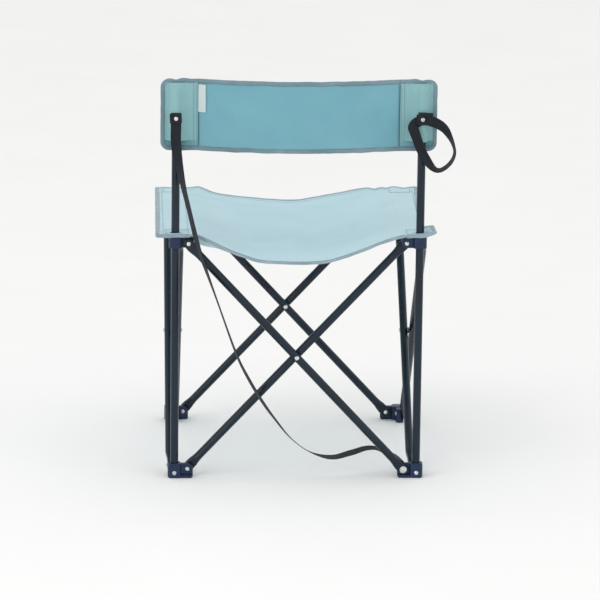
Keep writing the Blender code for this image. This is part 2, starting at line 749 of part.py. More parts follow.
LOOP_STRAP = [
    (0.1850, tab_y - GAP - WEB_T, 0.5853, 0),
    (0.1950, tab_y - GAP - WEB_T, 0.5853, 0),
    (0.2060, tab_y - 0.0018, 0.5837, 0),
    (0.2195, -P - 0.0140, 0.5788, 12),
    (0.2295, -P - 0.0165, 0.5716, 34),
    (0.2371, -P - 0.0185, 0.5602, 58),
    (0.2426, -P - 0.0195, 0.5483, 74),
    (0.2455, -P - 0.0205, 0.5375, 81),
    (0.2446, -P - 0.0205, 0.5285, 82),
    (0.2398, -P - 0.0210, 0.5191, 80),
    (0.2310, -P - 0.0220, 0.5105, 79),
    (0.2218, -P - 0.0230, 0.5066, 76),
    (0.2128, -P - 0.0240, 0.5095, 60),
    (0.2029, -P - 0.0245, 0.5205, 36),
    (0.1920, -P - 0.0240, 0.5390, 26),
    (0.1852, -P - 0.0215, 0.5570, 20),
    (0.1815, -P - 0.0170, 0.5670, 10),
    (0.1797, -P - 0.0125, 0.5735, 0),
    (0.1840, tab_y, 0.5795, 0),
    (0.1950, tab_y, 0.5853, 0),
    (0.2040, tab_y, 0.5900, 0),
]

carry = add("carry_strap", [ribbon(hanging(CARRY_STRAP), 3)], WEBBING, base_axis)
reach = 0.004
low_end = Vector((PIVOT, ear_back, FOOT_PIVOT_Z))
back_way = Vector((0, reach, 0))
left_tab = Vector((-P, tab_y, BACK_SCREW_Z))
boolean(
    carry,
    "DIFFERENCE",
    [
        rod(low_end - back_way, low_end + back_way, RIVET_R + HOLE_CLEAR),
        rod(left_tab - back_way, left_tab + back_way, SCREW_R + HOLE_CLEAR),
    ],
)
loop = add("loop_strap", [ribbon(hanging(LOOP_STRAP), 3)], WEBBING, AXES["rear_right_foot"])
right_tab = Vector((P, tab_y, BACK_SCREW_Z))
boolean(loop, "DIFFERENCE", [rod(right_tab - back_way, right_tab + back_way, SCREW_R + HOLE_CLEAR)])
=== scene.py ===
import math

import bmesh
import bpy
import numpy as np
from mathutils import Matrix, Vector, noise


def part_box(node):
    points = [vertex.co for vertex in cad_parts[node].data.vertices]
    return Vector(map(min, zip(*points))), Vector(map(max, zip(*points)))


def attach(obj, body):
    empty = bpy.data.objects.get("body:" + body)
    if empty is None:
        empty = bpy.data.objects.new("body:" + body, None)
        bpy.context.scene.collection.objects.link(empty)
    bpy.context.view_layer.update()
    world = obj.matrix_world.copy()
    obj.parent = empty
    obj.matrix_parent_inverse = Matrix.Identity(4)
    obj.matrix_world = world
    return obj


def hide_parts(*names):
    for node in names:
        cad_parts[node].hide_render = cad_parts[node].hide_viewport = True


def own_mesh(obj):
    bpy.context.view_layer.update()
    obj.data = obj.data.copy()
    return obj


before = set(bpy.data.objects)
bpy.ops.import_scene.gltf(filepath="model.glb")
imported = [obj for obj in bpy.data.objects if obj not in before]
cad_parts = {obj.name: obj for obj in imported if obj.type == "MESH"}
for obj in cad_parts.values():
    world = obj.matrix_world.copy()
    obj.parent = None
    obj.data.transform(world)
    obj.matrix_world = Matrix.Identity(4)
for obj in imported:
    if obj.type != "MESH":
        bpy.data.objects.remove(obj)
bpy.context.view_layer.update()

# ---------------------------------------------------------------- sizes, as in the design
P = 0.195  # half the spacing of the corner axes, along X and Y
TUBE_R = 0.0065
GAP = 0.0003
EAR_T = 0.0074  # a foot's ear, between the flat ends of a side's two tubes
HUB_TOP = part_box("hub_rear_left")[1][2]

# the seat: a sling, two side hems and four corner patches
SEAT_HALF_X = 0.2185
SEAT_HALF_Y = 0.2115
SEAT_SEAM_X = 0.1720
SEAT_CORNER_Y = 0.1645
SEAT_LOW = HUB_TOP + GAP
SAG_FRONT = 0.0220
SAG_START_X = 0.1655
EDGE_ROUND = 0.0030
HEM_SEAM = 0.0068  # the hem's seam, in from the edge
POST_HOLE_R = TUBE_R + 0.0006
PATCH_T = 0.0021

# the back band: two halves, and an end with a sleeve round each post
BAND_HALF_X = 0.2185
BAND_BOTTOM = 0.533
BAND_TOP = 0.646
BAND_MIDDLE = (BAND_BOTTOM + BAND_TOP) / 2
BAND_SEAM_X = 0.1600
BAND_CORNER = 0.0130
BAND_BULGE = 0.0120
BAND_SAG = 0.0030
SLEEVE_FIT = 0.0004  # from the post to the cloth round it
CLOTH_T = 0.0012
CLOTH_INSET = 0.0020  # from the cloth's cut edge to the binding's outer fold
CLOTH_Y = -P + TUBE_R + SLEEVE_FIT + 0.0008
POCKET_BOTTOM = 0.5485
POCKET_R = TUBE_R + SLEEVE_FIT + 0.0006
BINDING_W = 0.0070
LABEL_SEWN_X = -0.1594
LABEL_FREE_X = -0.1478

WEB_W = 0.0165
WEB_T = 0.0012
HEAD_HOLE_R = 0.0042  # in a folded strap end, round the screw's head

# ---------------------------------------------------------------- camera
CAM_AZ, CAM_EL, CAM_ROLL = math.radians(-3.00656), math.radians(11.99416), math.radians(0.69934)
CAM_DIST = 5.89037
CAM_TARGET = Vector((0.00407, -0.204, 0.29348))
back = Vector(
    (math.sin(CAM_AZ) * math.cos(CAM_EL), -math.cos(CAM_AZ) * math.cos(CAM_EL), math.sin(CAM_EL))
)
side = (-back).cross(Vector((0, 0, 1))).normalized()
up = side.cross(-back)
right = side * math.cos(CAM_ROLL) + up * math.sin(CAM_ROLL)
top = up * math.cos(CAM_ROLL) - side * math.sin(CAM_ROLL)
camera = bpy.data.objects.new("camera", bpy.data.cameras.new("camera"))
camera.data.lens = 221.57
camera.data.sensor_width = 36.0
camera.data.clip_start = 0.1
camera.data.clip_end = 60.0
camera.matrix_world = Matrix((right, top, back)).transposed().to_4x4()
camera.location = CAM_TARGET + back * CAM_DIST
bpy.context.scene.collection.objects.link(camera)
bpy.context.scene.camera = camera
bpy.context.scene.view_settings.view_transform = "Standard"
bpy.context.scene.view_settings.look = "None"


# ---------------------------------------------------------------- materials
def linear(rgb):
    """A screen colour, 0 to 255, as the linear one that a shader takes."""
    shares = [c / 255 for c in rgb]
    return [c / 12.92 if c <= 0.04045 else ((c + 0.055) / 1.055) ** 2.4 for c in shares] + [1.0]


class Paint:
    """A node material made in short steps."""

    def __init__(self, name):
        self.material = bpy.data.materials.new(name)
        self.material.use_nodes = True
        self.nodes = self.material.node_tree.nodes
        self.links = self.material.node_tree.links
        self.shader = self.nodes["Principled BSDF"]
        self.coords = self.nodes.new("ShaderNodeTexCoord")
        self.flat = self.coords.outputs["Object"]

    def set(self, **values):
        for name, value in values.items():
            self.shader.inputs[name.replace("_", " ")].default_value = value
        return self

    def join(self, source, target):
        self.links.new(source, target)

    def math(self, operation, a, b=None, clamp=False):
        node = self.nodes.new("ShaderNodeMath")
        node.operation = operation
        node.use_clamp = clamp
        for slot, value in zip(node.inputs, (a, b)):
            if value is None:
                continue
            if isinstance(value, (int, float)):
                slot.default_value = value
            else:
                self.join(value, slot)
        return node.outputs[0]

    def noise(self, scale, detail=3.0, rough=0.55, stretch=None):
        node = self.nodes.new("ShaderNodeTexNoise")
        node.inputs["Scale"].default_value = scale
        node.inputs["Detail"].default_value = detail
        node.inputs["Roughness"].default_value = rough
        source = self.flat
        if stretch:
            mapping = self.nodes.new("ShaderNodeMapping")
            mapping.inputs["Scale"].default_value = stretch
            self.join(source, mapping.inputs["Vector"])
            source = mapping.outputs[0]
        self.join(source, node.inputs["Vector"])
        return node.outputs["Fac"]

    def ramp(self, value, low, high, a=0.0, b=1.0):
        node = self.nodes.new("ShaderNodeMapRange")
        node.clamp = True
        node.inputs["From Min"].default_value = low
        node.inputs["From Max"].default_value = high
        node.inputs["To Min"].default_value = a
        node.inputs["To Max"].default_value = b
        self.join(value, node.inputs["Value"])
        return node.outputs[0]

    def mix(self, share, a, b):
        node = self.nodes.new("ShaderNodeMix")
        node.data_type = "RGBA"
        if isinstance(share, (int, float)):
            node.inputs["Factor"].default_value = share
        else:
            self.join(share, node.inputs["Factor"])
        for slot, value in ((node.inputs[6], a), (node.inputs[7], b)):
            if isinstance(value, (list, tuple)):
                slot.default_value = value
            else:
                self.join(value, slot)
        return node.outputs[2]

    def bump(self, height, strength, distance, over=None):
        node = self.nodes.new("ShaderNodeBump")
        node.inputs["Strength"].default_value = strength
        node.inputs["Distance"].default_value = distance
        self.join(height, node.inputs["Height"])
        if over is not None:
            self.join(over, node.inputs["Normal"])
        return node.outputs[0]

    def axis(self, source, which):
        node = self.nodes.new("ShaderNodeSeparateXYZ")
        self.join(source, node.inputs[0])
        return node.outputs[which]

    def colour(self, source):
        self.join(source, self.shader.inputs["Base Color"])

    def rough(self, source):
        self.join(source, self.shader.inputs["Roughness"])

    def normal(self, source):
        self.join(source, self.shader.inputs["Normal"])


def threads(paint, source, which, pitch):
    """Rounded threads, one each pitch metres along an axis."""
    return paint.math("SINE", paint.math("MULTIPLY", paint.axis(source, which), 2 * math.pi / pitch))


def cloth(name, colour, deep, across=(0, 1), pitch=0.0009, rough=0.82, sheen=0.25, patch=0.35, painted_seam_shade_x=0.0):
    """Plain-weave polyester: crossed threads, a slightly uneven dye, soft creases and, if asked, a painted
    shade line along a seam.
    """
    paint = Paint(name)
    one = threads(paint, paint.flat, across[0], pitch)
    two = threads(paint, paint.flat, across[1], pitch)
    weave = paint.math("MULTIPLY", one, two)
    slub = paint.noise(900.0, 1.0)
    cloudy = paint.noise(14.0, 4.0, 0.6)
    tone = paint.ramp(cloudy, 0.3, 0.7, 0.0, patch)
    base = paint.mix(tone, linear(colour), linear(deep))
    thread = paint.ramp(paint.math("ADD", weave, slub), -0.6, 1.6, 0.22, 0.0)
    base = paint.mix(thread, base, linear(deep))
    paint.colour(base)
    paint.rough(paint.ramp(cloudy, 0.3, 0.7, rough - 0.05, rough + 0.06))
    # Painted shade: a thin dark line in the colour at this distance from the middle stands in for the shadow
    # in the fold beside a seam.
    if painted_seam_shade_x:
        beside = paint.math("ABSOLUTE", paint.axis(paint.flat, 0))
        near = paint.math("ABSOLUTE", paint.math("SUBTRACT", beside, painted_seam_shade_x))
        base = paint.mix(paint.ramp(near, 0.0003, 0.0016, 0.75, 0.0), base, linear([c * 0.45 for c in deep]))
        paint.colour(base)
    crease = paint.noise(55.0, 3.0, 0.5)
    first = paint.bump(crease, 0.25, 0.0016)
    paint.normal(paint.bump(weave, 0.35, 0.0002, first))
    paint.set(Sheen_Weight=sheen, Sheen_Roughness=0.45, Specular_IOR_Level=0.25)
    return paint.material


def powder_coat():
    """Dark satin powder coat, faintly cloudy, with a few rubbed spots."""
    paint = Paint("tube_powder_coat")
    speck = paint.noise(1400.0, 2.0)
    cloudy = paint.noise(9.0, 3.0)
    rub = paint.noise(70.0, 6.0, 0.7, (1.0, 1.0, 0.35))
    base = paint.mix(paint.ramp(cloudy, 0.35, 0.65), linear((9, 26, 39)), linear((13, 33, 48)))
    scuffed = paint.ramp(rub, 0.74, 0.86, 0.0, 0.16)
    paint.colour(paint.mix(scuffed, base, linear((84, 90, 95))))
    paint.rough(paint.ramp(speck, 0.3, 0.7, 0.17, 0.25))
    paint.normal(paint.bump(speck, 0.08, 0.0001))
    paint.set(Specular_IOR_Level=0.35)
    return paint.material


def moulded(name, colour, light, rough=0.42):
    """Injection-moulded nylon: fine spark texture, faint flow marks and pale rubbed spots."""
    paint = Paint(name)
    spark = paint.noise(1700.0, 2.0)
    flow = paint.noise(45.0, 4.0, 0.6, (1.0, 1.0, 3.0))
    rub = paint.noise(210.0, 5.0, 0.7)
    base = paint.mix(paint.ramp(flow, 0.35, 0.7), linear(colour), linear(light))
    paint.colour(paint.mix(paint.ramp(rub, 0.66, 0.78, 0.0, 0.3), base, linear((92, 108, 120))))
    paint.rough(paint.ramp(spark, 0.3, 0.7, rough - 0.06, rough + 0.08))
    paint.normal(paint.bump(spark, 0.16, 0.0002))
    paint.set(Specular_IOR_Level=0.45)
    return paint.material


def plated():
    """Zinc-plated steel, brushed and slightly dulled."""
    paint = Paint("rivet_plating")
    brushed = paint.noise(900.0, 3.0, 0.6)
    dull = paint.noise(160.0, 4.0, 0.6)
    paint.colour(paint.mix(paint.ramp(dull, 0.4, 0.75), linear((226, 228, 226)), linear((164, 168, 168))))
    paint.rough(paint.ramp(brushed, 0.3, 0.7, 0.20, 0.36))
    paint.normal(paint.bump(brushed, 0.12, 0.0001))
    paint.set(Metallic=1.0)
    return paint.material


def webbing():
    """Ribbed polypropylene webbing; the strap's own map gives metres along it and across it."""
    paint = Paint("ribbed_webbing")
    place = paint.coords.outputs["UV"]
    rib = threads(paint, place, 0, 0.0016)
    warp = threads(paint, place, 1, 0.0011)
    weave = paint.math("ADD", rib, paint.math("MULTIPLY", warp, 0.6))
    fuzz = paint.noise(700.0, 3.0)
    cloudy = paint.noise(30.0, 3.0)
    base = paint.mix(paint.ramp(cloudy, 0.3, 0.7), linear((26, 31, 38)), linear((38, 43, 51)))
    paint.colour(paint.mix(paint.ramp(weave, -1.2, 1.4, 0.45, 0.0), base, linear((18, 21, 27))))
    paint.rough(paint.ramp(fuzz, 0.3, 0.7, 0.68, 0.86))
    paint.normal(paint.bump(weave, 0.55, 0.0003, paint.bump(fuzz, 0.2, 0.0003)))
    paint.set(Sheen_Weight=0.12, Sheen_Roughness=0.4, Specular_IOR_Level=0.22)
    return paint.material


def tape(name, colour, deep):
    """Grosgrain binding tape: fine ribs along its length, folded over the cloth's edge."""
    paint = Paint(name)
    place = paint.coords.outputs["UV"]
    rib = threads(paint, place, 0, 0.0011)
    fuzz = paint.noise(800.0, 2.0)
    cloudy = paint.noise(24.0, 4.0, 0.6)
    base = paint.mix(paint.ramp(cloudy, 0.3, 0.7), linear(colour), linear(deep))
    paint.colour(paint.mix(paint.ramp(rib, -1.0, 1.0, 0.22, 0.0), base, linear(deep)))
    paint.rough(paint.ramp(fuzz, 0.3, 0.7, 0.70, 0.86))
    pucker = paint.noise(120.0, 3.0)
    paint.normal(paint.bump(rib, 0.4, 0.0002, paint.bump(pucker, 0.35, 0.0012)))
    paint.set(Sheen_Weight=0.2, Specular_IOR_Level=0.3)
    return paint.material


def thread(name, colour, deep):
    """Plied sewing thread."""
    paint = Paint(name)
    ply = paint.noise(1500.0, 2.0)
    paint.colour(paint.mix(paint.ramp(ply, 0.3, 0.7), linear(colour), linear(deep)))
    paint.rough(paint.ramp(ply, 0.3, 0.7, 0.5, 0.7))
    paint.normal(paint.bump(ply, 0.3, 0.0002))
    paint.set(Sheen_Weight=0.1)
    return paint.material


TUBE = powder_coat()
PLASTIC = moulded("corner_nylon", (0, 28, 62), (8, 42, 80))
WASHER = moulded("spacer_nylon", (14, 19, 24), (26, 32, 38), 0.5)
STEEL = plated()
SEAT = cloth("seat_cloth_weave", (188, 219, 227), (160, 196, 208), (0, 1))
SEAT_HEM = cloth("seat_hem_weave", (190, 220, 228), (163, 198, 210), (0, 1))
# The band's cloth gets a painted shade line just inside its seams with the ends, beside the pockets.
BAND = cloth("band_cloth_weave", (121, 174, 187), (98, 153, 169), (0, 2), painted_seam_shade_x=BAND_SEAM_X - 0.0006)
POCKET = cloth("pocket_cloth_weave", (140, 184, 186), (116, 162, 168), (0, 2))
BINDING = tape("band_binding_tape", (130, 154, 162), (104, 130, 141))
SEAT_TAPE = tape("seat_binding_tape", (164, 184, 193), (126, 150, 162))
WEB = webbing()
LABEL = cloth("blank_label_weave", (206, 219, 219), (182, 198, 199), (0, 2), 0.0006)
STITCH = thread("seam_thread", (146, 176, 185), (120, 152, 163))
BAND_STITCH = thread("band_thread", (96, 138, 152), (74, 116, 132))
REAR_STITCH = thread("rear_hem_thread", (78, 106, 118), (56, 80, 92))
STITCH_DARK = thread("strap_thread", (50, 56, 64), (30, 34, 40))

CAD_PAINTS = (
    (("tube_", "post_"), TUBE),
    (("foot_screw", "band_screw", "rivet", "cross_rivet", "strap_rivet"), STEEL),
    (("foot_", "hub_"), PLASTIC),
    (("spacer",), WASHER),
)
for name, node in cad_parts.items():
    for starts, paint in CAD_PAINTS:
        if name.startswith(starts):
            for slot in node.material_slots:
                slot.material = paint
            break


# ---------------------------------------------------------------- meshes
def piece(name, points, faces, paint, body, uv=None, angle=40):
    """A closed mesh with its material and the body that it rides."""
    mesh = bpy.data.meshes.new(name)
    mesh.from_pydata([tuple(p) for p in points], [], faces)
    mesh.validate()
    if uv is not None:
        layer = mesh.uv_layers.new(name="UVMap")
        for loop in mesh.loops:
            layer.data[loop.index].uv = uv[loop.vertex_index]
    shape = bmesh.new()
    shape.from_mesh(mesh)
    bmesh.ops.recalc_face_normals(shape, faces=shape.faces)
    shape.to_mesh(mesh)
    shape.free()
    mesh.shade_smooth()
    mesh.set_sharp_from_angle(angle=math.radians(angle))
    made = bpy.data.objects.new(name, mesh)
    bpy.context.scene.collection.objects.link(made)
    made.data.materials.append(paint)
    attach(made, body)
    return made


def sheet_mesh(us, vs, surface, thick):
    """A closed cloth: surface(u, v) gives a point and a unit normal; thick may be a function too."""
    over, under = [], []
    for u in us:
        for v in vs:
            point, normal = surface(u, v)
            t = thick(u, v) if callable(thick) else thick
            over.append(point + normal * (t / 2))
            under.append(point - normal * (t / 2))
    m, n = len(us), len(vs)
    faces = []
    off = m * n
    for i in range(m - 1):
        for j in range(n - 1):
            a, b, c, d = i * n + j, (i + 1) * n + j, (i + 1) * n + j + 1, i * n + j + 1
            faces.append((a, b, c, d))
            faces.append((off + d, off + c, off + b, off + a))
    rim = [i * n for i in range(m)] + [(m - 1) * n + j for j in range(1, n)]
    rim += [i * n + n - 1 for i in range(m - 2, -1, -1)] + [j for j in range(n - 2, 0, -1)]
    for a, b in zip(rim, rim[1:] + rim[:1]):
        faces.append((a, off + a, off + b, b))
    return over + under, faces


def numbers(a, b, step):
    """Evenly spaced numbers from a to b, about step apart."""
    count = max(1, int(round(abs(b - a) / step)))
    return [a + (b - a) * k / count for k in range(count + 1)]


def stitches(paths, normal_of, length=0.0026, gap=0.0011, radius=0.00028, lift=0.00012):
    """Short raised stitches along each path of points; normal_of gives the cloth's outward side."""
    points, faces = [], []
    for path in paths:
        runs = [(b - a).length for a, b in zip(path, path[1:])]
        total = sum(runs)
        count = max(1, int(total / (length + gap)))
        pitch = total / count

        def at(s):
            for a, b, run in zip(path, path[1:], runs):
                if s <= run or b is path[-1]:
                    return a.lerp(b, min(1.0, s / max(run, 1e-9)))
                s -= run

        for k in range(count):
            start, end = at(pitch * k + gap / 2), at(pitch * (k + 1) - gap / 2)
            out = normal_of((start + end) / 2)
            along = (end - start).normalized()
            wide = along.cross(out).normalized()
            base = len(points)
            for share, r, rise in ((0.0, 0.5, -0.6), (0.2, 1.0, 0.4), (0.8, 1.0, 0.4), (1.0, 0.5, -0.6)):
                middle = start.lerp(end, share) + out * (lift + radius * rise)
                for turn in (0, 60, 120, 180, 240, 300):
                    c, s = math.cos(math.radians(turn)), math.sin(math.radians(turn))
                    points.append(middle + wide * (radius * r * c * 1.3) + out * (radius * r * s))
            for ring in range(3):
                for j in range(6):
                    n = (j + 1) % 6
                    a, b = base + ring * 6, base + (ring + 1) * 6
                    faces.append((a + j, a + n, b + n, b + j))
            faces.append(tuple(base + j for j in range(5, -1, -1)))
            faces.append(tuple(base + 18 + j for j in range(6)))
    return points, faces


# ---------------------------------------------------------------- seat
SEAT_MID = SEAT_LOW + 0.0011
# The sling's front and rear edges, as heights across the chair
FRONT_EDGE = (
    (-0.172, SEAT_MID),
    (-0.160, 0.4000),
    (-0.149, 0.4008),
    (-0.139, 0.3972),
    (-0.126, 0.3920),
    (-0.108, 0.3878),
    (-0.075, 0.3840),
    (-0.030, 0.3800),
    (0.015, 0.3785),
    (0.050, 0.3838),
    (0.090, 0.3912),
    (0.125, 0.3982),
    (0.140, 0.3996),
    (0.150, 0.3978),
    (0.160, 0.4002),
    (0.172, SEAT_MID),
)
REAR_EDGE = (
    (-0.172, SEAT_MID),
    (-0.160, 0.3978),
    (-0.140, 0.3883),
    (-0.114, 0.3755),
    (-0.089, 0.3657),
    (-0.063, 0.3575),
    (-0.030, 0.3547),
    (0.020, 0.3545),
    (0.050, 0.3573),
    (0.083, 0.3676),
    (0.109, 0.3774),
    (0.130, 0.3863),
    (0.153, 0.3943),
    (0.172, SEAT_MID),
)


def curve(points, x):
    """A smooth line through (x, height) points."""
    k = max(0, min(len(points) - 2, sum(1 for p in points if p[0] <= x) - 1))
    (x0, z0), (x1, z1) = points[k], points[k + 1]

    def slope(i):
        j, n = max(i - 1, 0), min(i + 1, len(points) - 1)
        return (points[n][1] - points[j][1]) / (points[n][0] - points[j][0])

    run = x1 - x0
    t = min(max((x - x0) / run, 0.0), 1.0)
    a, b = slope(k) * run, slope(k + 1) * run
    heights = z0 * (2 * t**3 - 3 * t**2 + 1) + z1 * (3 * t**2 - 2 * t**3)
    slopes = a * (t**3 - 2 * t**2 + t) + b * (t**3 - t**2)
    return heights + slopes


def ease(value, low, high):
    """0 below low, 1 above high, and a smooth rise between them."""
    t = min(max((value - low) / (high - low), 0.0), 1.0)
    return t * t * (3 - 2 * t)


def crease(x, y, cx, cy, degrees, width, reach):
    """A soft fold that starts at cx, cy, runs along its angle and fades with distance."""
    angle = math.radians(degrees)
    dx, dy = x - cx, y - cy
    along = dx * math.cos(angle) + dy * math.sin(angle)
    across = -dx * math.sin(angle) + dy * math.cos(angle)
    if along <= 0:
        return 0.0
    spread = width * (0.6 + along / reach)
    return math.exp(-((across / spread) ** 2)) * (along / reach) * math.exp(1 - along / reach)


def seat_height(x, y):
    """Height of the sling's middle surface."""
    share = (y + SEAT_HALF_Y) / (2 * SEAT_HALF_Y)
    reach = min(1.0, abs(x) / SEAT_SEAM_X)
    soft = SEAT_MID - SAG_FRONT * (1 - min(1.0, abs(x) / SAG_START_X) ** 2)
    near_front = math.exp(-(((SEAT_HALF_Y - y) / 0.055) ** 2))
    z = curve(REAR_EDGE, x) * (1 - share) + soft * share + (curve(FRONT_EDGE, x) - soft) * near_front
    inner = ease(1 - reach, 0.0, 0.12)
    behind = ease(SEAT_HALF_Y - y, 0.0, 0.02) * ease(SEAT_HALF_Y + y, 0.0, 0.02)
    folds = 0.0024 * crease(x, y, 0.170, 0.200, 200, 0.007, 0.075)
    folds += 0.0020 * crease(x, y, 0.172, 0.196, 226, 0.009, 0.085)
    folds -= 0.0018 * crease(x, y, 0.171, 0.198, 212, 0.006, 0.080)
    folds += 0.0016 * crease(x, y, -0.160, 0.200, -52, 0.010, 0.080)
    folds += 0.0014 * crease(x, y, -0.165, -0.190, 38, 0.011, 0.090)
    folds += 0.0014 * crease(x, y, 0.165, -0.190, 140, 0.011, 0.090)
    line = SEAT_HALF_Y - 0.056 - 0.02 * abs(x)
    folds += 0.0019 * math.exp(-(((y - line) / 0.0045) ** 2)) * (1 - ease(x, 0.04, 0.14))
    ripple = noise.noise(Vector((x * 9.0, y * 5.0, 0.3))) * 0.0020
    ripple += noise.noise(Vector((x * 26.0, y * 15.0, 4.1))) * 0.0008
    return z + inner * behind * (folds + ripple)


def hem_point(x, y):
    """The side hems lie on the hubs: the left one is pulled out, the right one in, its rear corner up."""
    out = max(0.0, abs(x) - P) / (SEAT_HALF_X - P)
    soft = noise.noise(Vector((x * 20.0, y * 12.0, 9.0))) * 0.0008 * min(1.0, out * 3)
    z = SEAT_MID + 0.0001 + soft
    if x < 0:
        return Vector((x - out * (0.0055 - 0.0100 * y), y, z - 0.0004 * out))
    pulled = ease(y, -0.168, -0.146) * (0.0155 - 0.0200 * (y + 0.146) / 0.3575)
    curled = 1 - ease(y, -0.172, -0.140)
    raised = 0.0022 * ease(y, 0.165, 0.195) * (1 - math.exp(-(((x - 0.199) / 0.008) ** 2)))
    raised *= ease(x, 0.172, 0.180) * (1 - 0.6 * out)
    return Vector((x - out * pulled, y, z + 0.0068 * out * out * curled + 0.0012 * out + raised))


def seat_surface(x, y):
    """A point on the seat and the way up from it."""
    d = 0.0005

    def spot(a, b):
        if abs(a) > SEAT_SEAM_X:
            return hem_point(a, b)
        return Vector((a, b, seat_height(a, b)))

    along, across = spot(x + d, y) - spot(x - d, y), spot(x, y + d) - spot(x, y - d)
    return spot(x, y), along.cross(across).normalized()


def on_seat(spots, lift):
    """Points at a height over the seat's middle surface."""
    return [place + way * lift for place, way in (seat_surface(x, y) for x, y in spots)]


def tape_piece(name, path, frames, width, up, down, paint, body):
    """Binding tape folded over an edge; frames gives, at each point, the way into the cloth and its face."""
    section = [(-0.0009, 0.0), (-0.0006, -0.7 * down), (0.0, -down)]
    section += [(0.7 * width, -down * 0.9), (width, -0.5 * down), (width, 0.5 * up)]
    section += [(0.7 * width, up * 0.9), (0.0, up), (-0.0006, 0.7 * up)]
    points, faces, uv = [], [], []
    run = 0.0
    for k, spot in enumerate(path):
        if k:
            run += (path[k] - path[k - 1]).length
        way, out = frames[k]
        ripple = 0.0005 * noise.noise(Vector((spot.x * 90.0, spot.y * 90.0, spot.z * 90.0)))
        swell = 1 + 0.35 * noise.noise(Vector((spot.x * 60.0, spot.y * 60.0 + 5.0, spot.z * 60.0)))
        for j, (d, o) in enumerate(section):
            points.append(spot + way * (d + (ripple if d > 0.001 else 0.5 * ripple)) + out * (o * swell))
            uv.append((run, j * 0.002))
    n = len(section)
    for k in range(len(path) - 1):
        for j in range(n):
            m = (j + 1) % n
            faces.append((k * n + j, k * n + m, (k + 1) * n + m, (k + 1) * n + j))
    faces.append(tuple(range(n)))
    faces.append(tuple((len(path) - 1) * n + j for j in range(n - 1, -1, -1)))
    return piece(name, points, faces, paint, body, uv=uv, angle=50)


def seat_tape(name, spots, inward, width, up, down, body):
    """Tape along the seat's edge: spots are (x, y) on the edge, inward is the flat way into the cloth."""
    path, frames = [], []
    for (x, y), (ix, iy) in zip(spots, inward):
        place, face = seat_surface(x, y)
        inner = seat_surface(x + ix * 0.004, y + iy * 0.004)[0]
        path.append(place)
        frames.append(((inner - place).normalized(), face))
    return tape_piece(name, path, frames, width, up, down, SEAT_TAPE, body)


# Rows of the sling from rear to front, closer together near its edges
ROWS = numbers(-SEAT_HALF_Y, -SEAT_HALF_Y + 0.016, 0.0032)
ROWS += numbers(-SEAT_HALF_Y + 0.019, SEAT_HALF_Y - 0.060, 0.0042)
ROWS += numbers(SEAT_HALF_Y - 0.057, SEAT_HALF_Y, 0.0028)
# The rear hem's loose facing, which hangs below the left side of the rear edge
FACING = (
    (-0.166, 0.3905),
    (-0.158, 0.3850),
    (-0.146, 0.3812),
    (-0.128, 0.3778),
    (-0.112, 0.3722),
    (-0.100, 0.3688),
)


def facing_surface(x, share):
    """From the rear edge, share 0, down to the facing's own edge, share 1."""
    high = curve(REAR_EDGE, x) - 0.0015
    low = min(curve(FACING, x), high - 0.0006)
    place = Vector((x, -SEAT_HALF_Y + 0.0016 + 0.0008 * share, high + (low - high) * share))
    return place, Vector((0, -1, 0))


for label, sx in (("left", -1), ("right", 1)):
    body, joint = f"seat_{label}_half", f"seat_{label}_fold"
    points, faces = sheet_mesh(numbers(0.0, sx * SEAT_SEAM_X, 0.0036), ROWS, seat_surface, CLOTH_T)
    panel = piece(f"seat_sling_{label}", points, faces, SEAT, body, angle=60)
    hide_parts(f"seat_panel_{label}")
    extras = []
    lines = []
    across = numbers(0.0, sx * 0.170, 0.004)
    for y in (SEAT_HALF_Y - 0.0175, SEAT_HALF_Y - HEM_SEAM, -SEAT_HALF_Y + 0.0098):
        lines.append(on_seat([(x, y) for x in across], CLOTH_T / 2))
    points, faces = stitches(lines, lambda p: seat_surface(p.x, p.y)[1])
    extras.append(piece(f"seat_hem_stitches_{label}", points, faces, STITCH, body))
    rear_line = on_seat([(x, -SEAT_HALF_Y + 0.0066) for x in across], CLOTH_T / 2)
    points, faces = stitches([rear_line], lambda p: seat_surface(p.x, p.y)[1], radius=0.00050, lift=0.0006)
    extras.append(piece(f"seat_rear_stitches_{label}", points, faces, REAR_STITCH, body))
    along = numbers(0.0, sx * SEAT_SEAM_X, 0.0036)
    for end, sy, up, down in (("front", 1, 0.0014, 0.0014), ("rear", -1, 0.0012, 0.0018)):
        spots = [(x, sy * SEAT_HALF_Y) for x in along]
        inward = [(0, -sy)] * len(spots)
        extras.append(seat_tape(f"seat_binding_{end}_{label}", spots, inward, 0.0055, up, down, body))
    if sx < 0:
        across = numbers(FACING[0][0], -0.101, 0.003)
        points, faces = sheet_mesh(across, numbers(0.0, 1.0, 0.2), facing_surface, 0.0008)
        extras.append(piece("seat_rear_facing", points, faces, SEAT_HEM, body))
    for made in [panel] + extras:
        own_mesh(made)

for label, sx in (("left", -1), ("right", 1)):
    holder = f"rear_{label}_hub"
    xs = numbers(sx * SEAT_SEAM_X, sx * SEAT_HALF_X, 0.0039)
    ys = numbers(-SEAT_CORNER_Y, SEAT_CORNER_Y, 0.005)
    points, faces = sheet_mesh(xs, ys, seat_surface, 0.0019)
    hem = piece(f"seat_side_hem_{label}", points, faces, SEAT_HEM, holder)
    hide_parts(f"seat_side_{label}")
    rows = (0.1745, 0.2095) if sx < 0 else (0.2095,)
    run = numbers(-SEAT_CORNER_Y, SEAT_CORNER_Y, 0.008)
    lines = [on_seat([(sx * x, y) for y in run], 0.0010) for x in rows]
    points, faces = stitches(lines, lambda p: Vector((0, 0, 1)))
    seam = piece(f"seat_side_stitches_{label}", points, faces, STITCH, holder)
    spots = [(sx * SEAT_HALF_X, y) for y in ys]
    inward = [(-sx, 0)] * len(spots)
    tape_made = seat_tape(f"seat_binding_side_{label}", spots, inward, 0.0072, 0.0017, 0.0017, holder)
    for made in (hem, seam, tape_made):
        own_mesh(made)


